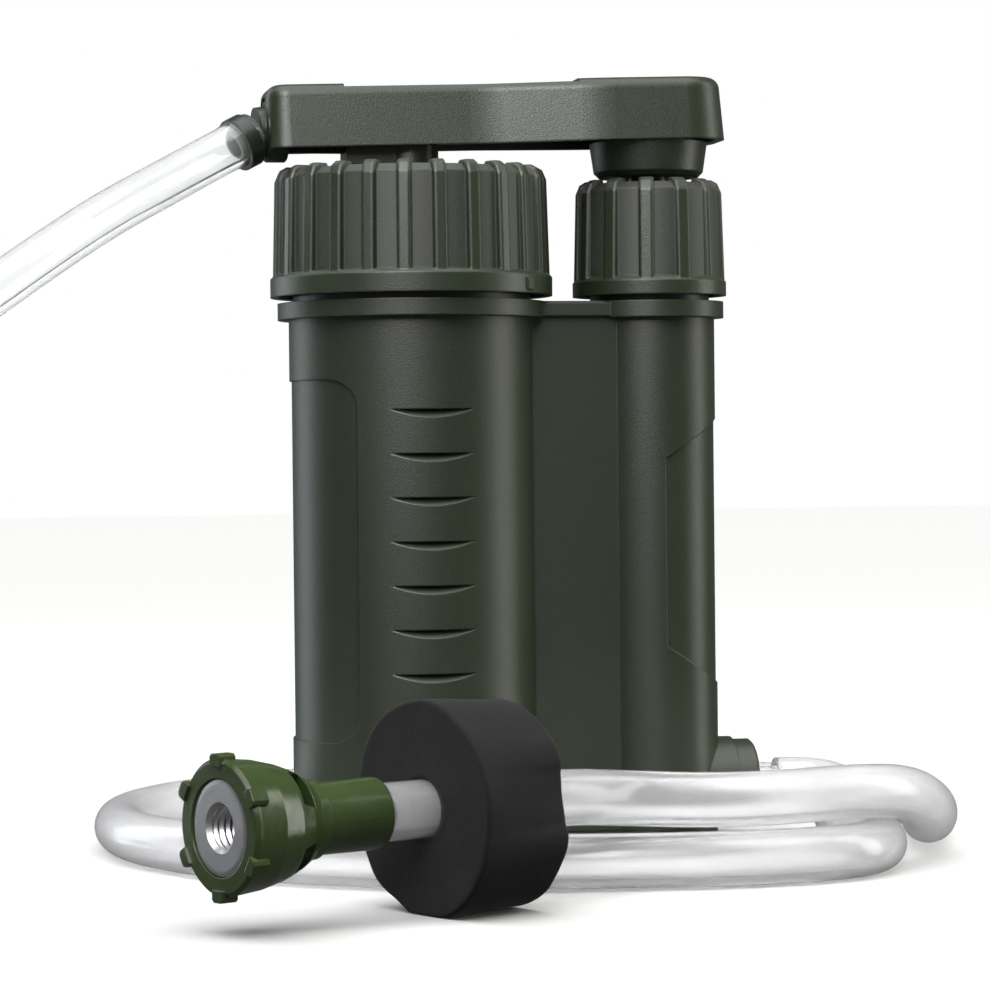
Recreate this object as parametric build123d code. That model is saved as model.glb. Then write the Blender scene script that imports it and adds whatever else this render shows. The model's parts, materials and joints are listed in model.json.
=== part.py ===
from build123d import *
import os
from math import cos, hypot, pi, radians, sin, tan

# Hand-pump water filter: a wide filter barrel and a slim piston-pump barrel in one housing.
# Millimetres. X runs from the filter barrel to the pump barrel, +Z is up, and the origin is on
# the underside of the base, midway between the two barrel axes.

# --- driving dimensions: housing ---
cap_space = 5.1             # between the skirts of the two caps
filter_radius = 24.7        # outside of the filter barrel
pump_radius = 13.1          # outside of the pump barrel
web_half = 9.5              # half the thickness of the web that joins the barrels
housing_height = 108.7      # underside of the base to the flange's top
flange_thick = 3.3
flange_lip_filter = 2.2     # how far the flange stands out
flange_lip_pump = 1.9
flange_lip_web = 1.3
wall = 2.4                  # barrel walls
neck_wall = 1.5
neck_rise = 18.5            # both threaded necks, above the flange
chamber_floor = 14.0        # inside of the filter chamber's floor
floor_thick = 2.5
cover_thick = 2.5           # base cover

# --- driving dimensions: panels and grip slots ---
slot_count = 7
slot_pitch = 8.6
slot_drop = 21.5            # flange's top to the highest grip slot's flat upper edge
slot_depth = 1.5
slot_height = 1.7
side_panel_low = 21.8
side_panel_drop = 15.5      # flange's top to the panel's upper edge
side_panel_half = 20.0      # half its width across the barrel
side_panel_depth = 0.45
side_panel_corner = 5.0
pump_panel_low = 39.4       # corners on the front edge
pump_panel_drop = 31.7      # flange's top to the panel's upper corner
pump_panel_flare = 9.0      # how much further the panel reaches at the side
pump_panel_depth = 0.35

# --- driving dimensions: screw caps ---
cap_gap = 1.2               # flange to the caps' skirts
cap_height = 25.8
cap_skirt_proud = 3.6       # proud of the filter barrel
cap_skirt_height = 4.5
cap_panel_proud = 1.4       # between the ribs
cap_rib_proud = 2.8         # outside of the ribs
cap_rib_count = 24
cap_rib_width = 2.8
nut_height = 23.4
nut_skirt_proud = 2.5       # proud of the pump barrel
nut_skirt_height = 3.6
nut_panel_proud = 1.0
nut_rib_proud = 1.9
nut_rib_count = 12
nut_rib_width = 3.0
cap_top_wall = 3.0
thread_depth = 0.8
thread_pitch = 4.0
thread_ridge = 1.2
thread_rings = 3
thread_clear = 0.35         # turning threads, all round

# --- driving dimensions: pump ---
liner_wall = 1.2
liner_clear = 0.1
rod_radius = 4.15
piston_clear = 0.15
piston_length = 11.0
pump_floor = 22.0
piston_rise = 2.0           # the piston over the pump's floor with the handle down
run_clear = 0.05            # running fits
guide_length = 7.0
wiper_thick = 2.0

# --- driving dimensions: handle ---
handle_height = 12.6
handle_tilt = 1.4           # degrees, lower at the outlet end
handle_left = 30.0          # reach past the filter axis at the rim
handle_right = 14.8         # reach past the pump axis at the rim
handle_half = 8.9           # half width over the outlet
handle_end_half = 12.6      # half width over the pump
handle_wall = 1.9
handle_draft = 4.0          # degrees
handle_swell = 22.0         # length over which the bar grows wider
handle_bend = 40.0          # corner radii of the plan
handle_left_corner = 5.0
handle_right_corner = 9.0
handle_edge = 2.4           # rounding of the top edge
handle_recess = 0.7         # shallow step between the two raised pads
handle_left_pad = 14.0      # inner ends of the pads, from the filter axis and the pump axis
handle_right_pad = 16.0
boss_radius = 12.0          # conical boss round the rod
boss_foot_radius = 11.1
boss_gap = 0.7              # boss to the gland nut's top
boss_height = 7.0           # boss's foot to the handle's rim

# --- driving dimensions: outlet elbow ---
spout_rise = 2.0            # centre of the spout over the handle's rim
elbow_radius = 4.4
elbow_post_radius = 5.7
elbow_foot = 13.5           # the foot's reach under the spout
elbow_stem_radius = 4.6
elbow_stem_drop = 14.7      # the stem's reach down from the cap's top
elbow_bore = 2.2
collar_radius = 6.2
collar_start = 25.0
collar_length = 4.5
disc_radius = 4.9
disc_thick = 1.3
barb_radius = 2.9
barb_length = 6.0
elbow_clear = 0.5

# --- driving dimensions: inlet port ---
port_height = 10.5
port_boss_radius = 9.6
port_boss_proud = 2.8       # past the pump barrel
port_collar_radius = 9.0
port_collar_length = 4.3
nipple_radius = 3.2
nipple_length = 7.8         # past the collar
nipple_bore = 2.0
hose_gap = 5.4              # collar to the intake hose's end

# --- driving dimensions: valves ---
ball_radius = 2.8
seat_hole = 2.0
seat_thick = 2.0
seat_radius = 4.2
ball_lift = 1.5
ball_clear = 0.03
well_offset = 5.0           # valve wells from the pump axis
outlet_valve_margin = 1.1   # between the outlet seat and the chamber's wall
inlet_seat_top = 16.0

# --- driving dimensions: filter cartridge ---
cartridge_clear = 1.9       # all round, in the chamber
cartridge_wall = 1.4
cartridge_feet = 8.0        # how high its feet hold it over the chamber's floor
cartridge_drop = 0.7        # flange's top to the shell's top
cartridge_base = 2.0
sponge_thick = 3.0
carbon_bore = 5.0
carbon_length = 30.0
strand_rings = 3
strand_fill = 0.45          # strand radius as a share of their pitch
layer_gap = 2.1             # between the cartridge's layers
potting_thick = 6.0
cartridge_cap_thick = 4.0
fit_gap = 0.15              # loose stacking fits inside the cartridge

# --- driving dimensions: hoses, float and strainer ---
intake_radius = 5.0
outlet_radius = 4.5
outlet_coil_radius = 45.5   # middle of the put-away turns
outlet_coil_turns = 2
float_radius = 18.3
float_length = 19.0
strainer_stem_radius = 6.15
strainer_ring_radius = 6.7
bell_radius = 11.35
bell_length = 16.3
nub_count = 6
nub_turn = 30.0             # first nub, measured round the bell
nub_width = 3.0
nub_proud = 0.8
weight_radius = 8.05
weight_length = 8.0
weight_bore = 3.4           # M8 thread, core radius
weight_chamfer = 0.7

# --- worked out from the driving dimensions ---
cap_skirt_radius = filter_radius + cap_skirt_proud
cap_panel_radius = filter_radius + cap_panel_proud
cap_rib_reach = filter_radius + cap_rib_proud
nut_skirt_radius = pump_radius + nut_skirt_proud
nut_panel_radius = pump_radius + nut_panel_proud
nut_rib_reach = pump_radius + nut_rib_proud
axis_distance = cap_skirt_radius + nut_skirt_radius + cap_space
filter_x = -axis_distance / 2
pump_x = axis_distance / 2
neck_top = housing_height + neck_rise
chamber_radius = filter_radius - wall
filter_neck = chamber_radius + neck_wall
pump_bore = pump_radius - wall - 0.1
pump_neck = pump_bore + neck_wall
liner_outer = pump_bore - liner_clear
liner_inner = liner_outer - liner_wall
cap_low = housing_height + cap_gap
cap_top = cap_low + cap_height
nut_top = cap_low + nut_height
boss_low = nut_top + boss_gap
flange_low = housing_height - flange_thick
first_ring = housing_height + 4.6
slot_top = housing_height - slot_drop
side_panel_high = housing_height - side_panel_drop
pump_panel_high = housing_height - pump_panel_drop
piston_rest = pump_floor + piston_rise
handle_rim = boss_low + boss_height
elbow_height = handle_rim + spout_rise
elbow_stem_low = cap_top - elbow_stem_drop
port_boss_reach = pump_radius + port_boss_proud
port_collar_reach = port_boss_reach + port_collar_length
nipple_reach = port_collar_reach + nipple_length
hose_start = port_collar_reach + hose_gap
outlet_valve_x = filter_x + chamber_radius - seat_radius - outlet_valve_margin
cartridge_radius = chamber_radius - cartridge_clear
cartridge_inner = cartridge_radius - cartridge_wall
cartridge_low = chamber_floor + cartridge_feet
cartridge_top = housing_height - cartridge_drop
cartridge_length = cartridge_top - cartridge_low
carbon_low = cartridge_low + cartridge_base + sponge_thick + layer_gap
strand_pitch = cartridge_inner / (strand_rings + 1)
strand_radius = strand_pitch * strand_fill


def tube(outer, inner, low, high, x=0.0, y=0.0):
    body = Cylinder(outer, high - low, align=(Align.CENTER, Align.CENTER, Align.MIN))
    hole = Cylinder(inner, high - low + 2, align=(Align.CENTER, Align.CENTER, Align.MIN))
    return Pos(x, y, low) * (body - Pos(0, 0, -1) * hole)


def rod(radius, low, high, x=0.0, y=0.0):
    return Pos(x, y, low) * Cylinder(radius, high - low, align=(Align.CENTER, Align.CENTER, Align.MIN))


def cross_rod(radius, left, right, height, y=0.0):
    along = Cylinder(radius, right - left, align=(Align.CENTER, Align.CENTER, Align.MIN))
    return Pos(left, y, height) * Rot(0, 90, 0) * along


def block(x0, x1, y0, y1, z0, z1):
    return Pos((x0 + x1) / 2, (y0 + y1) / 2, (z0 + z1) / 2) * Box(x1 - x0, y1 - y0, z1 - z0)


def turned(points):
    """A solid of revolution about Z from (radius, height) corners."""
    return revolve(make_face(Polyline([(r, 0, z) for r, z in points], close=True)), Axis.Z)


# --- housing ---

def twin_plan(filter_r, pump_r, half, low, high):
    body = rod(filter_r, low, high, filter_x) + rod(pump_r, low, high, pump_x)
    return body + block(filter_x, pump_x, -half, half, low, high)


def thread_ridges(radius, depth, x, inward=False, shift=0.0):
    """Plain ridges that stand for the turns of a thread."""
    ridges = []
    for i in range(thread_rings):
        low = first_ring + shift + i * thread_pitch
        inner, outer = (radius - depth, radius + 0.3) if inward else (radius - 0.3, radius + depth)
        ridges.append(tube(outer, inner, low, low + thread_ridge, x))
    return ridges


def grip_slots():
    """Wedge cuts: a flat upper edge and a lower face that slopes out to the surface."""
    slots = []
    edge = filter_radius - slot_depth
    out = filter_radius + 1
    drop = slot_height * (out - edge) / slot_depth
    for side in (-1, 1):
        for i in range(slot_count):
            top = slot_top - i * slot_pitch
            face = make_face(Polyline(
                [(0, side * edge, top), (0, side * out, top), (0, side * out, top - drop)], close=True))
            slots.append(Pos(filter_x - filter_radius / 2, 0, 0) * extrude(face, filter_radius, dir=(1, 0, 0)))
    return slots


def side_panel():
    """Shallow wrapped recess on the outer side of the filter barrel."""
    high, low = side_panel_high, side_panel_low
    plate = Pos(0, 0, (high + low) / 2) * Rot(0, -90, 0) * RectangleRounded(
        high - low, 2 * side_panel_half, side_panel_corner)
    prism = Pos(filter_x, 0, 0) * extrude(plate, filter_radius + 2, dir=(-1, 0, 0))
    return prism & tube(filter_radius + 2, filter_radius - side_panel_depth, low, high, filter_x)


def pump_panel():
    """Shallow six-sided recess that wraps the outer side of the pump barrel."""
    out = pump_x + pump_radius + 1
    low, high = pump_panel_low - pump_panel_flare, pump_panel_high + pump_panel_flare
    face = make_face(Polyline([
        (pump_x, 0, pump_panel_low), (pump_x, 0, pump_panel_high), (out, 0, high), (out, 0, low)], close=True))
    prism = Pos(0, -pump_radius - 2, 0) * extrude(face, 2 * pump_radius + 4, dir=(0, 1, 0))
    return prism & tube(pump_radius + 2, pump_radius - pump_panel_depth, low, high, pump_x)


def housing():
    body = twin_plan(filter_radius, pump_radius, web_half, cover_thick, housing_height)
    flange = rod(filter_radius + flange_lip_filter, flange_low, housing_height, filter_x)
    flange += rod(pump_radius + flange_lip_pump, flange_low, housing_height, pump_x)
    flange += block(filter_x, pump_x, -web_half - flange_lip_web, web_half + flange_lip_web,
                    flange_low + 0.3, housing_height - 0.4)
    body += flange
    body += rod(filter_neck, housing_height, neck_top, filter_x)
    body += rod(pump_neck, housing_height, neck_top, pump_x)
    body += thread_ridges(filter_neck, thread_depth, filter_x)
    body += thread_ridges(pump_neck, thread_depth, pump_x)
    body += cross_rod(port_boss_radius, pump_x, pump_x + port_boss_reach, port_height) & block(
        pump_x, pump_x + 2 * port_boss_reach, -filter_radius, filter_radius, cover_thick, housing_height)
    body -= rod(chamber_radius, chamber_floor, neck_top + 1, filter_x)
    body -= rod(pump_bore, pump_floor, neck_top + 1, pump_x)
    # dry space under the filter chamber, and the gallery that leads from the pump to the chamber
    dry_top = chamber_floor - floor_thick
    body -= rod(chamber_radius, cover_thick - 1, dry_top, filter_x) - block(
        outlet_valve_x - seat_radius - wall, 0, -seat_radius - wall, seat_radius + wall, 0, dry_top)
    body -= block(outlet_valve_x, pump_x - well_offset, -seat_hole, seat_hole, cover_thick - 1, 7.0)
    body -= rod(seat_hole, cover_thick - 1, chamber_floor + 1, outlet_valve_x)
    body -= rod(seat_radius, dry_top, chamber_floor + 1, outlet_valve_x)
    body -= rod(seat_hole, cover_thick - 1, pump_floor + 1, pump_x - well_offset)
    # inlet well, with the seat's counterbore above the cross hole from the nipple
    body -= rod(seat_hole, port_height - seat_hole, pump_floor, pump_x + well_offset)
    body -= rod(seat_radius, inlet_seat_top - seat_thick, pump_floor + 1, pump_x + well_offset)
    body -= cross_rod(seat_hole, pump_x + well_offset, pump_x + port_boss_reach + 1, port_height)
    body -= cross_rod(nipple_radius, pump_x + port_boss_reach - 4, pump_x + port_boss_reach + 1, port_height)
    body -= side_panel()
    body -= pump_panel()
    body -= grip_slots()
    return body


def base_cover():
    plate = twin_plan(filter_radius - 0.2, pump_radius - 0.2, web_half - 0.2, 0, cover_thick)
    rim = plate.faces().sort_by(Axis.Z)[0].outer_wire().edges()
    return chamfer(rim, 0.6)


def inlet_collar():
    left, right = pump_x + port_boss_reach, pump_x + port_collar_reach
    ring = cross_rod(port_collar_radius, left, right, port_height)
    ring = chamfer(ring.edges().filter_by(GeomType.CIRCLE).sort_by(Axis.X)[-1], 0.5)
    return ring - cross_rod(nipple_radius + run_clear, left - 1, right + 1, port_height)


def inlet_nipple():
    left, right = pump_x + port_boss_reach - 4, pump_x + nipple_reach
    body = cross_rod(nipple_radius, left, right, port_height)
    return body - cross_rod(nipple_bore, left - 1, right + 1, port_height)


# --- screw caps ---

def ribbed_cap(x, skirt_r, skirt_h, panel_r, reach, height, count, rib_w, phase):
    low, top = cap_low, cap_low + height
    body = turned([(0, low), (skirt_r, low), (skirt_r, low + skirt_h - 0.8),
                   (skirt_r - 0.8, low + skirt_h), (panel_r + 0.3, low + skirt_h),
                   (panel_r, top - 2.2), (panel_r - 1.6, top - 0.8), (panel_r - 2.2, top - 0.8), (0, top - 0.8)])
    # the ribs stand proud of the panel and roll over the shoulder
    rib_low, rib_top = low + skirt_h - 0.5, top
    outline = make_face(Polyline([
        (panel_r - 3.0, 0, rib_low), (reach + 0.3, 0, rib_low), (reach - 0.2, 0, rib_top - 2.6),
        (reach - 1.0, 0, rib_top - 0.7), (reach - 2.2, 0, rib_top), (panel_r - 3.0, 0, rib_top)], close=True))
    rib = Pos(0, -rib_w / 2, 0) * extrude(outline, rib_w, dir=(0, 1, 0))
    rib = fillet(rib.edges().filter_by(lambda e: e.center().X > panel_r - 2).filter_by(
        lambda e: abs(e.center().Y) > rib_w / 2 - 0.01), 0.7)
    ribs = [Rot(0, 0, phase + i * 360 / count) * rib for i in range(count)]
    body += ribs
    return Pos(x, 0, 0) * body


def cap_inside(x, neck):
    """The space for a threaded neck under a screw cap, less the cap's own ridges."""
    bore = neck + thread_depth + thread_clear
    space = rod(bore, cap_low - 1, neck_top + 0.8, x)
    for ridge in thread_ridges(bore, thread_depth, x, inward=True, shift=thread_pitch / 2):
        space -= ridge
    return space


def big_cap():
    body = ribbed_cap(filter_x, cap_skirt_radius, cap_skirt_height, cap_panel_radius, cap_rib_reach,
                      cap_height, cap_rib_count, cap_rib_width, 3.0)
    nub = block(cap_skirt_radius - 0.6, cap_skirt_radius + 0.5, -1.0, 1.0, cap_low + 0.6, cap_low + 3.0)
    body += Pos(filter_x, 0, 0) * Rot(0, 0, -44) * nub
    body -= cap_inside(filter_x, filter_neck)
    body -= rod(cap_panel_radius - 4.0, cap_top - 3 * cap_top_wall, cap_top - cap_top_wall - 0.8, filter_x)
    return body - rod(elbow_post_radius - 0.6 + thread_clear, cap_low, cap_top + 1, filter_x)


def cap_gasket():
    return tube(filter_neck + 0.5, chamber_radius + 0.2, neck_top, neck_top + 0.8 - 0.02, filter_x)


def gland_nut():
    body = ribbed_cap(pump_x, nut_skirt_radius, nut_skirt_height, nut_panel_radius, nut_rib_reach,
                      nut_height, nut_rib_count, nut_rib_width, 15.0)
    body -= cap_inside(pump_x, pump_neck)
    body -= rod(rod_radius + 2.2, nut_top - wiper_thick, nut_top + 1, pump_x)
    return body - rod(rod_radius + thread_clear, cap_low, nut_top + 1, pump_x)


def gland_gasket():
    return tube(pump_neck + 0.3, rod_radius + 1.5, neck_top, neck_top + 0.78, pump_x)


def rod_wiper():
    return tube(rod_radius + 2.15, rod_radius + run_clear, nut_top - wiper_thick + 0.02, nut_top - 0.8, pump_x)


# --- pump ---

def pump_liner():
    return tube(liner_outer, liner_inner, pump_floor, neck_top - guide_length, pump_x)


def rod_guide():
    return tube(liner_outer, rod_radius + run_clear, neck_top - guide_length, neck_top, pump_x)


def piston():
    outer = liner_inner - piston_clear
    low, top = piston_rest, piston_rest + piston_length
    groove = piston_length / 2
    body = turned([(0, low), (outer - 0.8, low), (outer, low + 0.8), (outer, low + groove - 1.5),
                   (outer - 2, low + groove - 1.5), (outer - 2, low + groove + 1.5), (outer, low + groove + 1.5),
                   (outer, top), (0, top)])
    body = Pos(pump_x, 0, 0) * body
    return body - rod(rod_radius - 1.2, top - 6, top + 1, pump_x)


def piston_seal():
    mid = piston_rest + piston_length / 2
    inner = liner_inner - piston_clear - 2
    return tube(liner_inner - run_clear, inner, mid - 1.45, mid + 1.45, pump_x)


def piston_rod():
    low = piston_rest + piston_length
    body = rod(rod_radius, low, handle_rim + 4.0, pump_x)
    body += rod(rod_radius - 1.2, low - 5.8, low, pump_x)
    return body - rod(1.6, handle_rim - 10.0, handle_rim + 5.0, pump_x)


# --- handle ---

def handle_plan(inset, height):
    """Plan of the handle: a bar over the outlet that swells to a broad rounded end over the pump."""
    left, right = filter_x - handle_left + inset, pump_x + handle_right - inset
    half, end = handle_half - inset, handle_end_half - inset
    swell = pump_x - handle_end_half
    lead = swell - handle_swell
    plan = make_face(Polyline([(left, -half), (lead, -half), (swell, -end), (right, -end),
                               (right, end), (swell, end), (lead, half), (left, half)], close=True))
    plan = fillet(plan.vertices().filter_by_position(Axis.X, lead - 1, swell + 1), handle_bend)
    plan = fillet(plan.vertices().sort_by(Axis.X)[:2], handle_left_corner - inset)
    plan = fillet(plan.vertices().sort_by(Axis.X)[-2:], handle_right_corner - inset)
    return Pos(0, 0, height) * plan


def handle_bar(inset, height):
    """The bar with its draft, from the rim up."""
    narrowing = height * tan(radians(handle_draft))
    return loft([handle_plan(inset, 0), handle_plan(inset + narrowing, height)], ruled=True)


def handle_shell():
    outer = handle_bar(0, handle_height)
    top = outer.faces().sort_by(Axis.Z)[-1]
    outer = fillet(top.outer_wire().edges(), handle_edge)
    # a shallow step between the raised pads
    step_left, step_right = filter_x - handle_left_pad, pump_x - handle_right_pad
    outer -= block(step_left, step_right, -2 * handle_half, 2 * handle_half,
                   handle_height - handle_recess, handle_height + 1)
    return outer - handle_bar(handle_wall, handle_height - handle_wall)


def handle():
    tilt = Pos(pump_x, 0, handle_rim) * Rot(0, -handle_tilt, 0) * Pos(-pump_x, 0, 0)
    shell = tilt * handle_shell()
    # a round arch in the end wall lets the spout's collar out and the handle rise
    arch = collar_radius + elbow_clear
    left = filter_x - handle_left
    shell -= cross_rod(arch, left - 5, filter_x - collar_start + 2 * elbow_clear, elbow_height)
    shell -= block(left - 5, filter_x - collar_start + 2 * elbow_clear, -arch, arch, handle_rim - 5, elbow_height)
    top = handle_rim + handle_height - handle_wall
    boss = Pos(pump_x, 0, 0) * turned([(0, boss_low), (boss_foot_radius - 1, boss_low), (boss_foot_radius, boss_low + 1),
                                       (boss_radius, handle_rim), (boss_radius - 3, handle_rim + 2),
                                       (boss_radius - 5, top + 0.5), (0, top + 0.5)])
    socket = rod(rod_radius + 0.02, boss_low - 1, handle_rim + 4.0, pump_x)
    screw_way = rod(2.0, boss_low, top + 5, pump_x)
    head_way = rod(3.6, handle_rim + 7.0, top + 10, pump_x)
    cover_way = rod(5.0, top + 0.4, top + 10, pump_x)
    return shell + boss - socket - screw_way - head_way - cover_way


def handle_screw():
    low, seat = handle_rim - 8.0, handle_rim + 7.0
    body = rod(1.55, low, seat, pump_x)
    body += rod(3.3, seat, seat + 2.4, pump_x)
    slot = rod(1.5, seat + 0.9, seat + 3, pump_x)
    return body - (slot & block(pump_x - 2, pump_x + 2, -1.2, 1.2, seat, seat + 4))


def screw_cover():
    low = handle_rim + handle_height - handle_wall + 0.45
    return rod(4.95, low, handle_rim + handle_height - 0.25, pump_x)


# --- outlet elbow ---

disc_tilt = (-1.0, -0.12, -0.15)
barb_tilt = (-0.83, -0.35, -0.44)


def spout_end(direction):
    """A plane at the spout's end, facing the way its disc or its barb points."""
    return Plane(origin=(filter_x - collar_start - collar_length, 0, elbow_height), z_dir=direction)


def outlet_elbow():
    foot_low = cap_top + elbow_clear
    body = rod(elbow_post_radius, foot_low, elbow_height, filter_x)
    body += rod(elbow_stem_radius, elbow_stem_low, foot_low, filter_x)
    body += rod(elbow_stem_radius + 0.1, cap_top - 3, foot_low, filter_x)
    body += Pos(filter_x, 0, elbow_height) * Sphere(elbow_post_radius)
    foot = block(filter_x - elbow_foot, filter_x, -elbow_radius, elbow_radius, foot_low, elbow_height)
    foot = fillet(foot.edges().filter_by(Axis.Y).sort_by(Axis.X)[:2].sort_by(Axis.Z)[0], 1.5)
    body += foot
    body += cross_rod(elbow_radius, filter_x - collar_start, filter_x, elbow_height)
    collar = cross_rod(collar_radius, filter_x - collar_start - collar_length, filter_x - collar_start, elbow_height)
    body += chamfer(collar.edges().filter_by(GeomType.CIRCLE), 0.4)
    body += spout_end(disc_tilt) * rod(disc_radius, -2.0, disc_thick)
    body += spout_end(barb_tilt) * rod(barb_radius, -3.0, disc_thick + 0.6 + barb_length)
    body -= rod(elbow_bore, elbow_stem_low - 1, elbow_height, filter_x)
    body -= spout_end(barb_tilt) * rod(elbow_bore, -1.0, disc_thick + barb_length + 2)
    return body - cross_rod(elbow_bore, filter_x - collar_start - collar_length, filter_x, elbow_height)


def elbow_seal():
    low = elbow_stem_low + 1.0
    return tube(elbow_stem_radius + 0.75, elbow_stem_radius, low, low + 1.6, filter_x)


def hose_clip():
    """Thin moulded band that grips the hose on the spout's barb."""
    return spout_end(barb_tilt) * tube(outlet_radius + 0.9, outlet_radius + 0.02, 4.0, 7.0)


# --- filter cartridge ---

def cartridge_shell():
    body = tube(cartridge_radius, cartridge_inner, cartridge_low, cartridge_top, filter_x)
    plate = rod(cartridge_radius, cartridge_low, cartridge_low + cartridge_base, filter_x)
    # two circles of inlet holes
    for share, count in ((0.3, 6), (0.6, 12)):
        for k in range(count):
            hole = Pos(cartridge_radius * share, 0, 0) * rod(1.5, cartridge_low - 1, cartridge_low + 3)
            plate -= Pos(filter_x, 0, 0) * Rot(0, 0, k * 360 / count) * hole
    feet = [Rot(0, 0, 120 * k + 60) * block(cartridge_radius - 5, cartridge_radius, -3, 3, chamber_floor, cartridge_low)
            for k in range(3)]
    return body + plate + [Pos(filter_x, 0, 0) * foot for foot in feet]


def sponge_pad():
    low = cartridge_low + cartridge_base
    return rod(cartridge_inner - fit_gap, low + 0.02, low + sponge_thick, filter_x)


def carbon_block():
    return tube(cartridge_inner - fit_gap, carbon_bore, carbon_low, carbon_low + carbon_length, filter_x)


def strand_places():
    places = [(0.0, 0.0)]
    for ring in range(1, strand_rings + 1):
        count = 6 * ring
        for k in range(count):
            angle = 2 * pi * k / count
            places.append((ring * strand_pitch * cos(angle), ring * strand_pitch * sin(angle)))
    return places


def membrane_bundle():
    low = carbon_low + carbon_length + layer_gap / 2
    top = cartridge_top - layer_gap / 2 - potting_thick
    return Compound([rod(strand_radius, low, top, filter_x + x, y).solids()[0] for x, y in strand_places()])


def potting_disc():
    top = cartridge_top - layer_gap / 2
    return rod(cartridge_inner - 0.02, top - potting_thick, top, filter_x)


def cartridge_cap():
    top = cartridge_top + cartridge_cap_thick
    socket = elbow_stem_radius + 0.8
    body = rod(cartridge_radius, cartridge_top, top, filter_x)
    body += rod(socket + 1.6, top, elbow_stem_low + 6.0, filter_x)
    body -= rod(socket, elbow_stem_low - 0.6, elbow_stem_low + 7.0, filter_x)
    return body - rod(elbow_bore, cartridge_top - 1, elbow_stem_low, filter_x)


def cartridge_seal():
    low = cartridge_top - 12.0
    return tube(chamber_radius - 0.02, cartridge_radius, low, low + 2.2, filter_x)


# --- valves ---

def seat_rise():
    """Height of the ball's centre over the seat's face."""
    return (ball_radius ** 2 - seat_hole ** 2) ** 0.5 + ball_clear


def valve_seat(x, top):
    return tube(seat_radius - 0.02, seat_hole, top - seat_thick, top, x)


def valve_ball(x, seat_top):
    return Pos(x, 0, seat_top + seat_rise()) * Sphere(ball_radius)


def outlet_valve_cage():
    low, inner = chamber_floor, ball_radius + 0.4
    top = low + seat_rise() + ball_radius + ball_lift + 0.3
    cage = tube(inner + 1.0, inner, low, top, outlet_valve_x)
    cage -= block(outlet_valve_x - 8, outlet_valve_x + 8, -1.6, 1.6, low + 1.2, top - 0.6)
    return cage + tube(inner + 1.0, 1.6, top, top + 1.0, outlet_valve_x)


# --- float and strainer, on the intake hose's far end ---

float_face = (pump_x - 66.0, -110.3, float_radius)     # centre of the float's outer face
far_direction = (-0.888, -0.460, -0.008)


def along(distance):
    """A plane across the hose's far end, that far past the float's outer face."""
    size = hypot(*far_direction)
    point = [p + distance * d / size for p, d in zip(float_face, far_direction)]
    return Plane(origin=point, z_dir=far_direction)


strainer_start = 10.4
ring_start = 23.2
bell_start = 25.2
bell_face = bell_start + bell_length


def turned_along(points):
    """A solid of revolution about the hose's far end, from (distance, radius) corners."""
    return along(0) * turned([(r, d) for d, r in points])


def foam_float():
    plane = along(-float_length)
    outline = [(1.0, 0.02), (0.985, 0.35), (0.97, 0.7), (1.0, 1.05), (1.0, 1.4), (0.985, 1.75),
               (1.0, 2.1), (0.98, 2.45), (1.0, 2.8), (0.985, 3.15), (1.0, 3.5), (0.97, 3.85),
               (1.0, 4.2), (0.985, 4.55), (1.0, 4.9), (0.98, 5.25), (1.0, 5.6), (0.985, 5.95)]
    points = [(float_radius * k * cos(a), float_radius * k * sin(a)) for k, a in outline]
    body = plane * extrude(make_face(Polyline(points, close=True)), float_length)
    body -= block(-200, 200, -300, 300, -10, 0)
    return body - plane * Pos(0, 0, -1) * Cylinder(
        intake_radius + run_clear, float_length + 2, align=(Align.CENTER, Align.CENTER, Align.MIN))


def strainer_stem():
    end = bell_start + 4.0
    body = turned_along([
        (strainer_start, intake_radius), (strainer_start, strainer_stem_radius),
        (ring_start, strainer_stem_radius - 0.15), (ring_start, strainer_ring_radius - 0.3),
        (ring_start + 0.3, strainer_ring_radius), (bell_start - 0.1, strainer_ring_radius),
        (bell_start - 0.1, 4.6), (end, 4.6), (end, 2.0), (strainer_start - 2.5, 2.0),
        (strainer_start - 2.5, 2.8), (strainer_start, 3.1), (ring_start - 4, 3.1),
        (ring_start - 4, intake_radius)])
    return body


def strainer_bell():
    body = turned_along([
        (bell_start, 4.65), (bell_start, 6.9), (bell_start + 1.0, 7.6), (bell_start + 3.0, 8.7),
        (bell_start + 6.0, 9.8), (bell_start + 10.0, 10.75), (bell_start + 15.0, 11.25),
        (bell_face - 0.6, bell_radius), (bell_face, bell_radius - 0.6), (bell_face, weight_radius + 0.05),
        (bell_face - weight_length - 0.1, weight_radius + 0.05),
        (bell_face - weight_length - 0.1, weight_radius - 0.6),
        (bell_start + 5.0, 7.4), (bell_start + 2.2, 6.0), (bell_start + 2.2, 4.65)])
    nub = block(bell_radius - 1.2, bell_radius + nub_proud, -nub_width / 2, nub_width / 2,
                bell_face - 2.6, bell_face + 0.5)
    nub = chamfer(nub.edges().filter_by(Axis.Z).sort_by(Axis.X)[-2:], 0.5)
    window = block(4.0, 12.0, -3.6, 3.6, bell_start + 2.4, bell_start + 5.2)
    for i in range(nub_count):
        body += along(0) * Rot(0, 0, nub_turn + i * 360 / nub_count) * nub
    for i in range(4):
        body -= along(0) * Rot(0, 0, 90 * i + 45) * window
    return body


def strainer_screen():
    low, high = bell_start + 5.3, bell_face - weight_length - 0.15
    return along(0) * (tube(6.9, 6.3, low, high) + tube(6.9, 2.0, high - 0.6, high))


def strainer_weight():
    low, high = bell_face - weight_length, bell_face - 0.3
    body = turned_along([
        (low, weight_bore + weight_chamfer), (low, weight_radius), (high - 0.3, weight_radius),
        (high, weight_radius - 0.3), (high, weight_bore + weight_chamfer), (high - weight_chamfer, weight_bore),
        (low + weight_chamfer, weight_bore)])
    return body


# --- hoses ---

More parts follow.
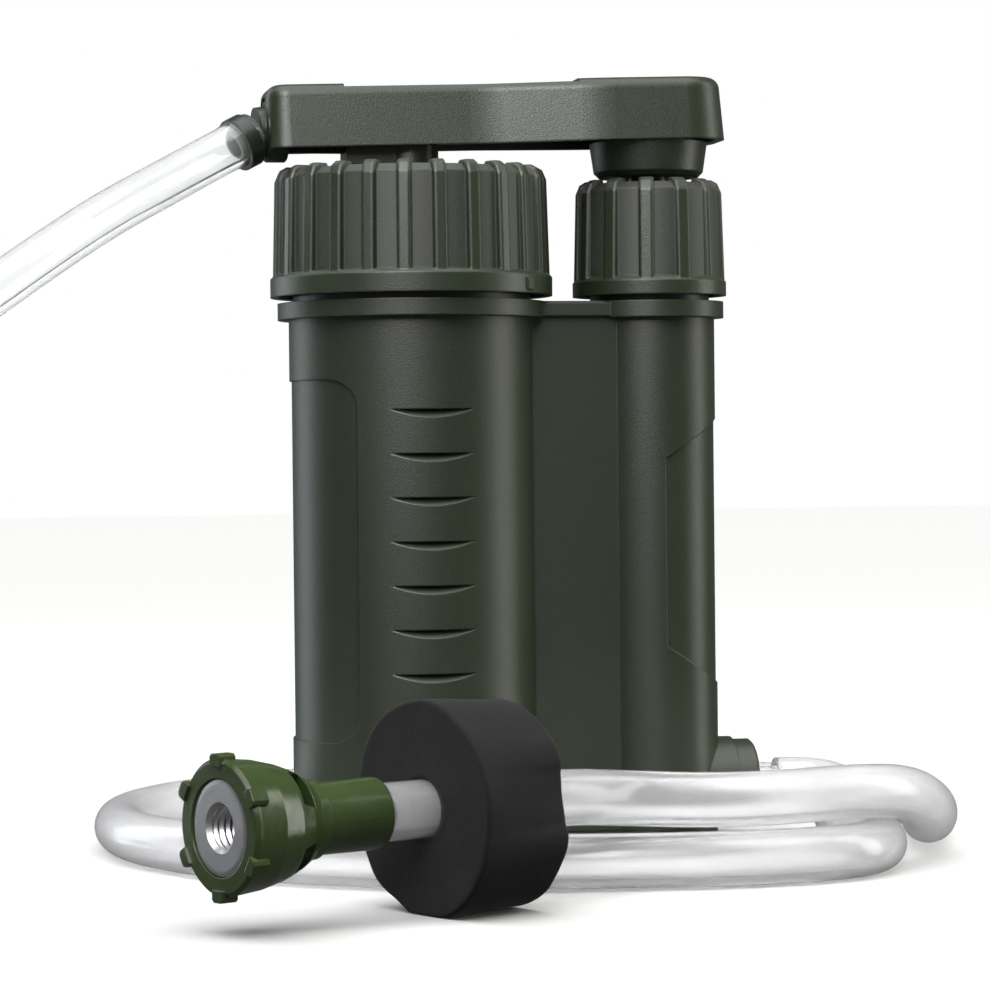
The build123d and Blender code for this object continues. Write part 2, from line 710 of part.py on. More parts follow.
def route_tube(points, outer, inner, name):
    """A tube of straight runs and tangent arcs, each arc as large as its two runs allow."""
    radii = []
    for a, b, c in zip(points, points[1:], points[2:]):
        into, out = Vector(*b) - Vector(*a), Vector(*c) - Vector(*b)
        turn = radians(into.get_angle(out))
        radii.append(0.45 * min(into.length, out.length) / tan(turn / 2))
    path = FilletPolyline(*points, radius=radii)
    start = Plane(origin=path @ 0, z_dir=path % 0)
    solid = sweep(start * Circle(outer), path=path) - sweep(start * Circle(inner), path=path)
    ideal = pi * (outer ** 2 - inner ** 2) * path.length
    print(name, "length", round(path.length, 1), "volume share", round(solid.volume / ideal, 4))
    print(name, "radii", [round(r, 1) for r in radii])
    return solid


# The intake hose bends off the nipple, makes one and a half loose turns round the base, climbs
# onto its own first turn at the front and ends in the strainer.
intake_route = [(pump_x + x, y, z) for x, y, z in (
    (hose_start, 0.0, port_height), (30.3, 0.0, port_height), (34.5, -2.5, 10.2), (36.7, -7.0, 9.5),
    (36.9, -14.0, 8.7), (29.7, -29.5, 7.6), (28.0, -41.4, 6.1), (28.8, -53.2, 5.3),
    (28.7, -64.4, 5.1), (25.0, -73.4, 5.1), (17.2, -80.6, 5.1), (5.4, -84.2, 5.1),
    (-6.5, -85.3, 5.1), (-20.5, -84.0, 5.1), (-41.2, -80.3, 5.1), (-65.1, -72.3, 5.1),
    (-85.9, -58.2, 5.1), (-100.6, -38.7, 5.1), (-108.8, -14.7, 5.1), (-108.6, 10.7, 5.1),
    (-99.6, 34.4, 5.1), (-82.1, 54.5, 5.1), (-58.1, 68.4, 5.1), (-31.6, 74.6, 5.1),
    (-3.4, 72.9, 5.1), (22.9, 61.3, 5.1), (44.8, 42.0, 5.1), (55.8, 16.5, 5.1), (55.4, -9.9, 5.1),
    (48.1, -28.9, 5.3), (45.1, -43.5, 7.0), (40.2, -57.9, 10.8), (31.8, -70.0, 14.9),
    (19.4, -77.9, 15.9), (5.9, -82.3, 15.6), (-8.6, -83.6, 15.5), (-24.6, -82.9, 16.3))]

# The outlet hose leaves the spout, swings forward and down outside the base, and meets its coil.
outlet_route = [(filter_x + x, y, z) for x, y, z in (
    (-31.9, -1.0, elbow_height - 1.0), (-39.0, -4.0, elbow_height - 4.8),
    (-49.5, -13.0, elbow_height - 10.8), (-63.5, -26.0, elbow_height - 18.7),
    (-79.5, -40.5, elbow_height - 29.7), (-100.5, -56.0, elbow_height - 45.0), (-125.5, -68.0, 80.0),
    (-153.5, -71.0, 60.0), (-178.5, -60.0, 40.0), (-194.0, -38.0, 22.0), (-197.0, -12.0, 9.0),
    (-189.5, 8.5, 5.0),
)]
outlet_coil_centre = (filter_x - 146.9, -18.8)


def far_end():
    """The intake hose's last straight stretch, through the float into the strainer's stem."""
    size = hypot(*far_direction)
    step = [d / size for d in far_direction]
    return [tuple(p + t * s for p, s in zip(float_face, step)) for t in (-float_length - 9.0, ring_start - 4.05)]


def intake_hose():
    return route_tube(intake_route + far_end(), intake_radius, nipple_radius + run_clear, "intake hose")


def outlet_hose():
    return route_tube(outlet_route, outlet_radius, barb_radius + run_clear, "outlet hose")


def outlet_hose_coil():
    """Outer shape of the put-away turns, lying side by side on the floor."""
    half = outlet_coil_turns * outlet_radius + 0.6
    x, y = outlet_coil_centre
    return tube(outlet_coil_radius + half, outlet_coil_radius - half, 0, 2 * outlet_radius + 0.3, x, y)


nodes = {
    "housing": housing,
    "base_cover": base_cover,
    "inlet_collar": inlet_collar,
    "inlet_nipple": inlet_nipple,
    "big_cap": big_cap,
    "cap_gasket": cap_gasket,
    "gland_nut": gland_nut,
    "gland_gasket": gland_gasket,
    "rod_wiper": rod_wiper,
    "pump_liner": pump_liner,
    "rod_guide": rod_guide,
    "piston": piston,
    "piston_seal": piston_seal,
    "piston_rod": piston_rod,
    "handle": handle,
    "handle_screw": handle_screw,
    "screw_cover": screw_cover,
    "outlet_elbow": outlet_elbow,
    "elbow_seal": elbow_seal,
    "hose_clip": hose_clip,
    "cartridge_shell": cartridge_shell,
    "sponge_pad": sponge_pad,
    "carbon_block": carbon_block,
    "membrane_bundle": membrane_bundle,
    "potting_disc": potting_disc,
    "cartridge_cap": cartridge_cap,
    "cartridge_seal": cartridge_seal,
    "inlet_valve_seat": lambda: valve_seat(pump_x + well_offset, inlet_seat_top),
    "inlet_valve_ball": lambda: valve_ball(pump_x + well_offset, inlet_seat_top),
    "outlet_valve_seat": lambda: valve_seat(outlet_valve_x, chamber_floor),
    "outlet_valve_ball": lambda: valve_ball(outlet_valve_x, chamber_floor),
    "outlet_valve_cage": outlet_valve_cage,
    "foam_float": foam_float,
    "strainer_stem": strainer_stem,
    "strainer_bell": strainer_bell,
    "strainer_screen": strainer_screen,
    "strainer_weight": strainer_weight,
    "intake_hose": intake_hose,
    "outlet_hose": outlet_hose,
    "outlet_hose_coil": outlet_hose_coil,
}

os.makedirs("parts", exist_ok=True)
for name, make in nodes.items():
    export_step(make(), f"parts/{name}.step")
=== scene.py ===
import json
import math

import bpy
from mathutils import Matrix, Vector, noise


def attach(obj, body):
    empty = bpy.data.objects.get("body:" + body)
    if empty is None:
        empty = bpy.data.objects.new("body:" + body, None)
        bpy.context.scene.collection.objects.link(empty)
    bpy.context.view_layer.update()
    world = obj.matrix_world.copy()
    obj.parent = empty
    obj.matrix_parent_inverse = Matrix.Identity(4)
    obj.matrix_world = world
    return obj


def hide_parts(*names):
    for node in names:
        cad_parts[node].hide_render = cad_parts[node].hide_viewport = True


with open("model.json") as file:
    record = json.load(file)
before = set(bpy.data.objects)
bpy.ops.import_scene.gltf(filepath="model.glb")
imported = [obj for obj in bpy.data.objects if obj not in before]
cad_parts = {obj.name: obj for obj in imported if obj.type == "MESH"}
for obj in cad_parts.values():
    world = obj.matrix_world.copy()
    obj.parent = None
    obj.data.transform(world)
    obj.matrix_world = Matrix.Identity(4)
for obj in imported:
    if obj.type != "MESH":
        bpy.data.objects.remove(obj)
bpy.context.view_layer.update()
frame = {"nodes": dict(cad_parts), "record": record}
nodes = frame["nodes"]
print("frame loaded with", len(nodes), "nodes")

mm = 0.001
studio = bpy.context.scene.collection


# ---- camera ----

cameraSetup = {
    "place": (-0.1388, -0.6995, 0.0783),
    "looksAlong": (0.184, 0.983, -0.0117),
    "lens": 128.2,
    "sensor": 36.0,
    "rollDegrees": 0.6,  # the filter stands a touch out of plumb in the frame
}


def addCamera(setup):
    data = bpy.data.cameras.new("studioCamera")
    data.lens = setup["lens"]
    data.sensor_width = setup["sensor"]
    data.clip_start = 0.01
    data.clip_end = 50
    camera = bpy.data.objects.new("studioCamera", data)
    studio.objects.link(camera)
    ahead = Vector(setup["looksAlong"]).normalized()
    level = ahead.cross(Vector((0, 0, 1))).normalized()
    upright = level.cross(ahead)
    roll = math.radians(setup["rollDegrees"])
    up = upright * math.cos(roll) + level * math.sin(roll)
    right = level * math.cos(roll) - upright * math.sin(roll)
    matrix = Matrix((right, up, -ahead)).transposed().to_4x4()
    matrix.translation = Vector(setup["place"])
    camera.matrix_world = matrix
    bpy.context.scene.camera = camera


addCamera(cameraSetup)


# ---- hoses: the lines they follow ----

intakeHose = {
    "outer": 5.0,
    "inner": 3.25,
    "length": 0.716,
    "route": [
        (50.1, 0.0, 10.5), (54.8, 0.0, 10.5), (59.0, -2.5, 10.2), (61.2, -7.0, 9.5),
        (61.4, -14.0, 8.7), (54.2, -29.5, 7.6), (52.5, -41.4, 6.1), (53.3, -53.2, 5.3),
        (53.2, -64.4, 5.1), (49.5, -73.4, 5.1), (41.7, -80.6, 5.1), (29.9, -84.2, 5.1),
        (18.0, -85.3, 5.1), (4.0, -84.0, 5.1), (-16.7, -80.3, 5.1), (-40.6, -72.3, 5.1),
        (-61.4, -58.2, 5.1), (-76.1, -38.7, 5.1), (-84.3, -14.7, 5.1), (-84.1, 10.7, 5.1),
        (-75.1, 34.4, 5.1), (-57.6, 54.5, 5.1), (-33.6, 68.4, 5.1), (-7.1, 74.6, 5.1),
        (21.1, 72.9, 5.1), (47.4, 61.3, 5.1), (69.3, 42.0, 5.1), (80.3, 16.5, 5.1),
        (79.9, -9.9, 5.1), (72.6, -28.9, 5.3), (69.6, -43.5, 7.0), (64.7, -57.9, 10.8), (56.3, -70.0, 14.9),
        (43.9, -77.9, 15.9), (30.4, -82.3, 15.6), (15.9, -83.6, 15.5), (-0.1, -82.9, 16.3),
    ],
}
farEnd = {
    "face": (-41.5, -110.3, 18.3),  # middle of the float's outer face
    "along": (-0.888, -0.460, -0.008),
    "floatLength": 19.0,
    "straightBefore": 9.0,
    "hoseEndsAt": 19.15,  # inside the strainer's stem
}
outletHose = {
    "outer": 4.5,
    "inner": 2.95,
    "length": 0.757,
    "swell": 0.55,  # how much the barb stretches it
    "swellMiddle": 2.5,
    "swellSpread": 2.6,
    "route": [
        (-56.4, -1.0, 142.0), (-63.5, -4.0, 138.2), (-74.0, -13.0, 132.2), (-88.0, -26.0, 124.3),
        (-104.0, -40.5, 113.3), (-125.0, -56.0, 98.0), (-150.0, -68.0, 80.0),
        (-178.0, -71.0, 60.0), (-203.0, -60.0, 40.0), (-218.5, -38.0, 22.0),
        (-221.5, -12.0, 9.0), (-214.0, 8.5, 5.0),
    ],
    "coilMiddle": (-171.4, -18.8),
    "coilOuter": 50.9,
    "coilInner": 41.4,
    "coilFrom": 147.3,  # degrees, where the route meets the turns
    "coilSweep": 597.3,
    "coilStep": 20.0,
    "crossFrom": 230.0,  # the hose moves to the inner turn between these
    "crossTo": 335.0,
    "coilHeight": 4.6,
}


def farPoint(distance):
    step = Vector(farEnd["along"]).normalized()
    return tuple(Vector(farEnd["face"]) + step * distance)


def intakePoints():
    start = -farEnd["floatLength"] - farEnd["straightBefore"]
    return intakeHose["route"] + [farPoint(start), farPoint(farEnd["hoseEndsAt"])]


def outletPoints():
    points = list(outletHose["route"])
    x, y = outletHose["coilMiddle"]
    outer, inner = outletHose["coilOuter"], outletHose["coilInner"]
    height = outletHose["coilHeight"]
    crossing = outletHose["crossTo"] - outletHose["crossFrom"]
    turned = outletHose["coilStep"]
    while turned <= outletHose["coilSweep"] + 0.5:
        share = (turned - outletHose["crossFrom"]) / crossing
        share = min(1.0, max(0.0, share))
        share = share * share * (3 - 2 * share)
        radius = outer + (inner - outer) * share
        angle = math.radians(outletHose["coilFrom"] - turned)
        points.append((x + radius * math.cos(angle), y + radius * math.sin(angle), height))
        turned += outletHose["coilStep"]
    return points


def smoothLine(name, points, steps=10):
    data = bpy.data.curves.new(name, "CURVE")
    data.dimensions = "3D"
    data.resolution_u = steps
    spline = data.splines.new("NURBS")
    spline.points.add(len(points) - 1)
    for point, place in zip(spline.points, points):
        point.co = (place[0] * mm, place[1] * mm, place[2] * mm, 1.0)
    spline.order_u = 3
    spline.use_endpoint_u = True
    guide = bpy.data.objects.new(name, data)
    studio.objects.link(guide)
    bpy.context.view_layer.update()
    mesh = bpy.data.meshes.new_from_object(guide)
    line = [v.co.copy() for v in mesh.vertices]
    bpy.data.objects.remove(guide)
    bpy.data.meshes.remove(mesh)
    return line


def lineFrames(line):
    # a frame carried along the line without twist: place, two cross directions, length so far
    frames = []
    side = None
    run = 0.0
    for i, place in enumerate(line):
        ahead = (line[min(i + 1, len(line) - 1)] - line[max(i - 1, 0)]).normalized()
        if side is None:
            side = ahead.cross(Vector((0, 0, 1))).normalized()
        side = (side - ahead * side.dot(ahead)).normalized()
        if i:
            run += (place - line[i - 1]).length
        frames.append((place, side, ahead.cross(side), run))
    return frames


def meshPiece(name, vertices, faces, smooth=True):
    mesh = bpy.data.meshes.new(name)
    mesh.from_pydata([tuple(v) for v in vertices], [], faces)
    mesh.validate()
    for polygon in mesh.polygons:
        polygon.use_smooth = smooth
    piece = bpy.data.objects.new(name, mesh)
    studio.objects.link(piece)
    return piece


def hoseTube(name, line, outerAt, innerAt, sides=40):
    frames = lineFrames(line)
    total = frames[-1][3]
    vertices = []
    for place, side, lift, run in frames:
        for radiusAt in (outerAt, innerAt):
            radius = radiusAt(run, total) * mm
            for k in range(sides):
                turn = 2 * math.pi * k / sides
                vertices.append(place + side * (radius * math.cos(turn)) + lift * (radius * math.sin(turn)))
    faces = []
    ring = 2 * sides
    for i in range(len(frames) - 1):
        for k in range(sides):
            n = (k + 1) % sides
            a, b = i * ring + k, i * ring + n
            faces.append((a, b, b + ring, a + ring))
            a, b = a + sides, b + sides
            faces.append((b, a, a + ring, b + ring))
    last = (len(frames) - 1) * ring
    for k in range(sides):
        n = (k + 1) % sides
        faces.append((n, k, k + sides, n + sides))
        faces.append((last + k, last + n, last + n + sides, last + k + sides))
    return meshPiece(name, vertices, faces)


intakeLine = smoothLine("intakeLine", intakePoints())
outletLine = smoothLine("outletLine", outletPoints())
skinClear = 0.02  # drawn hoses stay just inside their solids


def intakeOuter(run, total):
    return intakeHose["outer"] - skinClear


def intakeInner(run, total):
    return intakeHose["inner"]


def barbSwell(run):
    # the hose is stretched over the barb's two rings and settles back after them
    away = (run / mm - outletHose["swellMiddle"]) / outletHose["swellSpread"]
    return outletHose["swell"] * math.exp(-away ** 2)


def outletOuter(run, total):
    return outletHose["outer"] - skinClear + barbSwell(run)


def outletInner(run, total):
    return outletHose["inner"] + barbSwell(run)


intakePiece = hoseTube("intakeHoseMilky", intakeLine, intakeOuter, intakeInner)
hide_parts("intake_hose")
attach(intakePiece, "filter_body")

outletPiece = hoseTube("outletHoseClear", outletLine, outletOuter, outletInner)
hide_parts("outlet_hose", "outlet_hose_coil")
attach(outletPiece, "filter_body")
print("hoses laid")


# ---- foam float, sliced by hand from closed-cell foam ----

foamFloat = {
    "length": 19.0,
    "hole": 5.08,
    "edge": 0.55,
    # radius of the cut at each angle, seen from the strainer's end, 0 to the right and 90 up
    "front": [(3, 18.3), (20, 18.3), (34, 18.0), (50, 17.8), (63, 17.8), (87, 18.5), (103, 18.5),
              (121, 18.8), (136, 19.2), (152, 19.2), (163, 19.0), (182, 18.8), (201, 19.1),
              (214, 19.3), (224, 19.3),
              (242, 18.5), (257, 18.8), (270, 18.5), (287, 18.9), (312, 18.6), (335, 18.3), (350, 18.2)],
    "back": [(6, 14.4), (21, 15.0), (28, 16.0), (37, 16.5), (52, 16.4), (70, 16.8), (90, 17.4), (115, 17.8),
             (140, 17.4), (165, 17.9), (190, 17.5), (215, 18.0), (240, 17.6), (262, 18.2), (285, 18.1),
             (303, 17.8), (313, 17.4), (326, 17.2), (334, 17.2), (343, 16.7), (350, 15.3)],
    "sides": 220,
    "slices": 26,
    "faceRings": 14,
    "waver": 0.16,  # the knife's wander
    "waverLength": 7.0,
    "pores": 0.06,
    "poreLength": 0.9,
    "holeRows": 8,
}


def cutRadius(table, degrees):
    # smooth change of radius from one measured angle to the next, all the way round
    count = len(table)
    for i in range(count):
        a0, r0 = table[i]
        a1, r1 = table[(i + 1) % count]
        span = (a1 - a0) % 360
        gone = (degrees - a0) % 360
        if gone <= span:
            before = table[i - 1][1]
            after = table[(i + 2) % count][1]
            t = gone / span
            return 0.5 * ((2 * r0) + (r1 - before) * t + (2 * before - 5 * r0 + 4 * r1 - after) * t ** 2
                          + (3 * r0 - before - 3 * r1 + after) * t ** 3)
    return table[0][1]


def foamPiece(spec):
    along = Vector(farEnd["along"]).normalized()
    across = Vector((0, 0, 1)).cross(along).normalized()
    lift = along.cross(across)
    lift = lift if lift.z > 0 else -lift
    middle = Vector(farEnd["face"])
    # outline of the half section: distance behind the front face, share of the way out from the hole,
    # and what the rounded edge takes off the radius
    length, edge, rings = spec["length"], spec["edge"], spec["faceRings"]
    section = [(0.0, i / rings, 0.0) for i in range(rings)]
    section += [(0.0, 1.0, -edge), (0.16 * edge, 1.0, -0.36 * edge), (edge, 1.0, 0.0)]
    for i in range(1, spec["slices"]):
        section.append((edge + (length - 2 * edge) * i / spec["slices"], 1.0, 0.0))
    section += [(length - edge, 1.0, 0.0), (length - 0.16 * edge, 1.0, -0.36 * edge), (length, 1.0, -edge)]
    section += [(length, i / rings, 0.0) for i in range(rings - 1, -1, -1)]
    section += [(length * (1 - i / spec["holeRows"]), 0.0, 0.0) for i in range(1, spec["holeRows"])]
    vertices = []
    for depth, share, shave in section:
        t = depth / length
        for k in range(spec["sides"]):
            degrees = 360 * k / spec["sides"]
            cut = cutRadius(spec["front"], degrees) * (1 - t) + cutRadius(spec["back"], degrees) * t + shave
            radius = spec["hole"] + (cut - spec["hole"]) * share
            turn = math.radians(degrees)
            spoke = across * math.cos(turn) + lift * math.sin(turn)
            place = middle - along * depth + spoke * radius
            waver = noise.noise(place / spec["waverLength"]) * spec["waver"]
            waver += noise.noise(place / spec["poreLength"]) * spec["pores"]
            out = spoke * share
            if share < 1.0:
                out = out * 0.3 + along * (1 if depth == 0 else -1) * (share > 0) * 0.6
            place = place + out * waver
            place.z = max(place.z, 0.15 + 0.05 * noise.noise(place / 1.5))  # flat where it rests
            vertices.append(place * mm)
    faces = []
    sides, rows = spec["sides"], len(section)
    for i in range(rows):
        j = (i + 1) % rows
        for k in range(sides):
            n = (k + 1) % sides
            faces.append((i * sides + k, i * sides + n, j * sides + n, j * sides + k))
    piece = meshPiece("foamFloatCut", vertices, faces)
    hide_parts("foam_float")
    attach(piece, "float")
    return piece


foamFloatPiece = foamPiece(foamFloat)
print("foam float cut")


# ---- strainer weight, turned steel with a cut thread ----

weightDisc = {
    "outer": 8.05,
    "from": 33.5,  # distances past the float's face
    "to": 41.2,
    "bore": 3.42,
    "threadDepth": 0.5,
    "threadPitch": 1.25,
    "chamfer": 0.75,
    "edge": 0.35,
    "sides": 96,
    "threadRows": 70,
}


def weightPiece(spec):
    along = Vector(farEnd["along"]).normalized()
    across = Vector((0, 0, 1)).cross(along).normalized()
    lift = along.cross(across)
    middle = Vector(farEnd["face"])
    low, high, bore, edge = spec["from"], spec["to"], spec["bore"], spec["edge"]
    wide = bore + spec["chamfer"]
    rows = [(wide, low, 0), (spec["outer"] - edge, low, 0), (spec["outer"], low + edge, 0),
            (spec["outer"], high - edge, 0), (spec["outer"] - 0.3 * edge, high - 0.3 * edge, 0),
            (spec["outer"] - edge, high, 0)]
    for i in range(1, 5):
        rows.append((spec["outer"] - edge + (wide - spec["outer"] + edge) * i / 4, high, 0))
    for i in range(spec["threadRows"] + 1):
        t = i / spec["threadRows"]
        height = high - spec["chamfer"] + (low - high + 2 * spec["chamfer"]) * t
        fade = min(1.0, 12 * t, 12 * (1 - t))
        rows.append((bore, height, fade))
    vertices = []
    for radius, height, fade in rows:
        for k in range(spec["sides"]):
            turn = 2 * math.pi * k / spec["sides"]
            phase = (height / spec["threadPitch"] - k / spec["sides"]) % 1.0
            ridge = 1 - abs(2 * phase - 1)
            r = radius + fade * spec["threadDepth"] * min(1.0, max(0.0, 1.25 * ridge - 0.12))
            spoke = across * math.cos(turn) + lift * math.sin(turn)
            vertices.append((middle + along * height + spoke * r) * mm)
    faces = []
    sides = spec["sides"]
    for i in range(len(rows)):
        j = (i + 1) % len(rows)
        for k in range(sides):
            n = (k + 1) % sides
            faces.append((i * sides + n, i * sides + k, j * sides + k, j * sides + n))
    piece = meshPiece("strainerWeightThreaded", vertices, faces)
    sharp = piece.modifiers.new("edges", "EDGE_SPLIT")
    sharp.split_angle = math.radians(32)
    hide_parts("strainer_weight")
    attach(piece, "filter_body")
    return piece


weightDiscPiece = weightPiece(weightDisc)
print("strainer weight turned")


# ---- floor and light ----

studioSetup = {
    "floorHalf": 4.0,
    "floorColour": "#f4f4f2",
    "backgroundWhite": 1.0,
    "roomLight": 0.13,  # what the dim studio round it gives the plastics
    # name, place, size, watts, colour
    "boxes": [
        ("boxRight", (0.80, -0.12, 0.28), (0.28, 0.95), 3.6, "#fffdf8"),
        ("boxLeft", (-0.60, 0.52, 0.28), (0.35, 0.9), 2.4, "#f2f6ff"),
    ],
    "boxesAimAt": (0.0, 0.0, 0.07),
    # name, place, size, watts, colour: only seen as gloss
    "glossPanels": [("panelFront", (-0.30, -0.75, 0.55), (0.5, 0.4), 12.0, "#ffffff")],
    # big soft panel overhead
    "skyPanel": {"strength": 3.5, "spreadDegrees": 75, "from": (-0.1, -0.25, 1.0)},
}


def linearColour(code, alpha=1.0):
    channels = [int(code[i:i + 2], 16) / 255 for i in (1, 3, 5)]
    linear = [c / 12.92 if c <= 0.04045 else ((c + 0.055) / 1.055) ** 2.4 for c in channels]
    return (*linear, alpha)


def addNode(tree, kind, values=None, links=None, **settings):
    node = tree.nodes.new(kind)
    for name, value in settings.items():
        setattr(node, name, value)
    for name, value in (values or {}).items():
        node.inputs[name].default_value = value
    for name, socket in (links or {}).items():
        tree.links.new(socket, node.inputs[name])
    return node


def addLights(setup):
    for name, place, size, watts, colour in setup["boxes"] + setup["glossPanels"]:
        data = bpy.data.lights.new(name, "AREA")
        data.shape = "RECTANGLE"
        data.size, data.size_y = size
        data.energy = watts
        data.color = linearColour(colour)[:3]
        lamp = bpy.data.objects.new(name, data)
        studio.objects.link(lamp)
        aim = Vector(setup["boxesAimAt"]) - Vector(place)
        lamp.matrix_world = Matrix.Translation(place) @ aim.to_track_quat("-Z", "Y").to_matrix().to_4x4()
        lamp.visible_camera = False
        lamp.visible_diffuse = name not in [row[0] for row in setup["glossPanels"]]
    panel = setup["skyPanel"]
    data = bpy.data.lights.new("skyPanel", "SUN")
    data.energy = panel["strength"]
    data.angle = math.radians(panel["spreadDegrees"])
    lamp = bpy.data.objects.new("skyPanel", data)
    studio.objects.link(lamp)
    lamp.rotation_euler = Vector(panel["from"]).to_track_quat("Z", "Y").to_euler()
    world = bpy.data.worlds.new("whiteRoom")
    bpy.context.scene.world = world
    world.use_nodes = True
    tree = world.node_tree
    tree.nodes.clear()
    path = addNode(tree, "ShaderNodeLightPath")
    seen = addNode(tree, "ShaderNodeMath", operation="MAXIMUM",
                   links={0: path.outputs["Is Camera Ray"], 1: path.outputs["Is Transmission Ray"]})
    plain = (1, 1, 1, 1)
    room = addNode(tree, "ShaderNodeBackground", {"Color": plain, "Strength": setup["roomLight"]})
    white = addNode(tree, "ShaderNodeBackground", {"Color": plain, "Strength": setup["backgroundWhite"]})
    mix = addNode(tree, "ShaderNodeMixShader",
                  links={0: seen.outputs[0], 1: room.outputs[0], 2: white.outputs[0]})
    addNode(tree, "ShaderNodeOutputWorld", links={"Surface": mix.outputs[0]})


def addFloor(setup):
    half = setup["floorHalf"]
    corners = [(-half, -half, 0), (half, -half, 0), (half, half, 0), (-half, half, 0)]
    floor = meshPiece("floor", corners, [(0, 1, 2, 3)])
    paper = bpy.data.materials.new("whiteStudioSheet")
    paper.use_nodes = True
    paper.node_tree.nodes.clear()
    shader = addNode(paper.node_tree, "ShaderNodeBsdfPrincipled",
                     {"Base Color": linearColour(setup["floorColour"]), "Roughness": 0.6})
    addNode(paper.node_tree, "ShaderNodeOutputMaterial", links={"Surface": shader.outputs[0]})
    floor.data.materials.append(paper)
    floor.visible_glossy = False  # the sheet's glare is flagged off the plastics
    floor.visible_diffuse = False


addLights(studioSetup)
addFloor(studioSetup)
bpy.context.scene.view_settings.view_transform = "Standard"
print("floor and light set")


# ---- materials ----

def newMaterial(name):
    material = bpy.data.materials.new(name)
    material.use_nodes = True
    material.node_tree.nodes.clear()
    return material, material.node_tree


def finishMaterial(tree, shader):
    addNode(tree, "ShaderNodeOutputMaterial", links={"Surface": shader.outputs[0]})


def mouldedPlastic(name, look):
    # spark-eroded mould skin: fine grain that breaks the gloss up, soft edges, faint tone drift
    material, tree = newMaterial(name)
    coords = addNode(tree, "ShaderNodeTexCoord")
    grain = addNode(tree, "ShaderNodeTexNoise",
                    {"Scale": 1 / (look["grain"] * mm), "Detail": 2.0, "Roughness": 0.6},
                    {"Vector": coords.outputs["Object"]})
    drift = addNode(tree, "ShaderNodeTexNoise", {"Scale": 1 / (look["drift"] * mm), "Detail": 3.0},
                    {"Vector": coords.outputs["Object"]})
    ramp = addNode(tree, "ShaderNodeValToRGB", links={"Fac": drift.outputs["Fac"]})
    ramp.color_ramp.elements[0].position = 0.3
    ramp.color_ramp.elements[0].color = linearColour(look["colour"])
    ramp.color_ramp.elements[1].position = 0.75
    ramp.color_ramp.elements[1].color = linearColour(look["colourLight"])
    colour = ramp.outputs["Color"]
    rough = addNode(tree, "ShaderNodeMapRange",
                    {"From Min": 0.3, "From Max": 0.7,
                     "To Min": look["roughness"] - 0.05, "To Max": look["roughness"] + 0.07},
                    {"Value": grain.outputs["Fac"]})
    roughness = rough.outputs[0]
    if "grooves" in look:
        # the grooves between the ribs are given a greyer, lighter speckled colour and a rougher gloss than
        # the ribs
        colour, roughness = greyerGrooveTone(tree, coords, look["grooves"], grain, colour, roughness)
    edge = addNode(tree, "ShaderNodeBevel", {"Radius": look["edge"] * mm}, samples=4)
    bump = addNode(tree, "ShaderNodeBump", {"Strength": look["bump"], "Distance": 0.00006},
                   {"Height": grain.outputs["Fac"], "Normal": edge.outputs[0]})
    shader = addNode(tree, "ShaderNodeBsdfPrincipled",
                     {"IOR": look["ior"], "Specular IOR Level": look["specular"]},
                     {"Base Color": colour, "Roughness": roughness, "Normal": bump.outputs[0]})
    finishMaterial(tree, shader)
    return material


def greyerGrooveTone(tree, coords, grooves, grain, colour, roughness):
    # distance from the cap's own axis tells groove from rib
    offset = addNode(tree, "ShaderNodeVectorMath", {1: (-grooves["axisX"] * mm, 0, 0)},
                     {0: coords.outputs["Object"]})
    flat = addNode(tree, "ShaderNodeVectorMath", {1: (1, 1, 0)}, {0: offset.outputs[0]},
                   operation="MULTIPLY")
    away = addNode(tree, "ShaderNodeVectorMath", links={0: flat.outputs[0]}, operation="LENGTH")
    inside = addNode(tree, "ShaderNodeMapRange",
                     {"From Min": (grooves["radius"] + 0.25) * mm,
                      "From Max": (grooves["radius"] + 0.7) * mm, "To Min": 1.0, "To Max": 0.0},
                     {"Value": away.outputs["Value"]})
    speck = addNode(tree, "ShaderNodeValToRGB", links={"Fac": grain.outputs["Fac"]})
    speck.color_ramp.elements[0].position = 0.35
    speck.color_ramp.elements[0].color = linearColour(grooves["colour"])
    speck.color_ramp.elements[1].position = 0.7
    speck.color_ramp.elements[1].color = linearColour(grooves["colourLight"])
    tint = addNode(tree, "ShaderNodeMixRGB",
                   links={0: inside.outputs[0], 1: colour, 2: speck.outputs["Color"]})
    dull = addNode(tree, "ShaderNodeMapRange", {"To Min": 0.0, "To Max": grooves["rougher"]},
                   {"Value": inside.outputs[0]})
    total = addNode(tree, "ShaderNodeMath", links={0: roughness, 1: dull.outputs[0]}, operation="ADD")
    return tint.outputs[0], total.outputs[0]


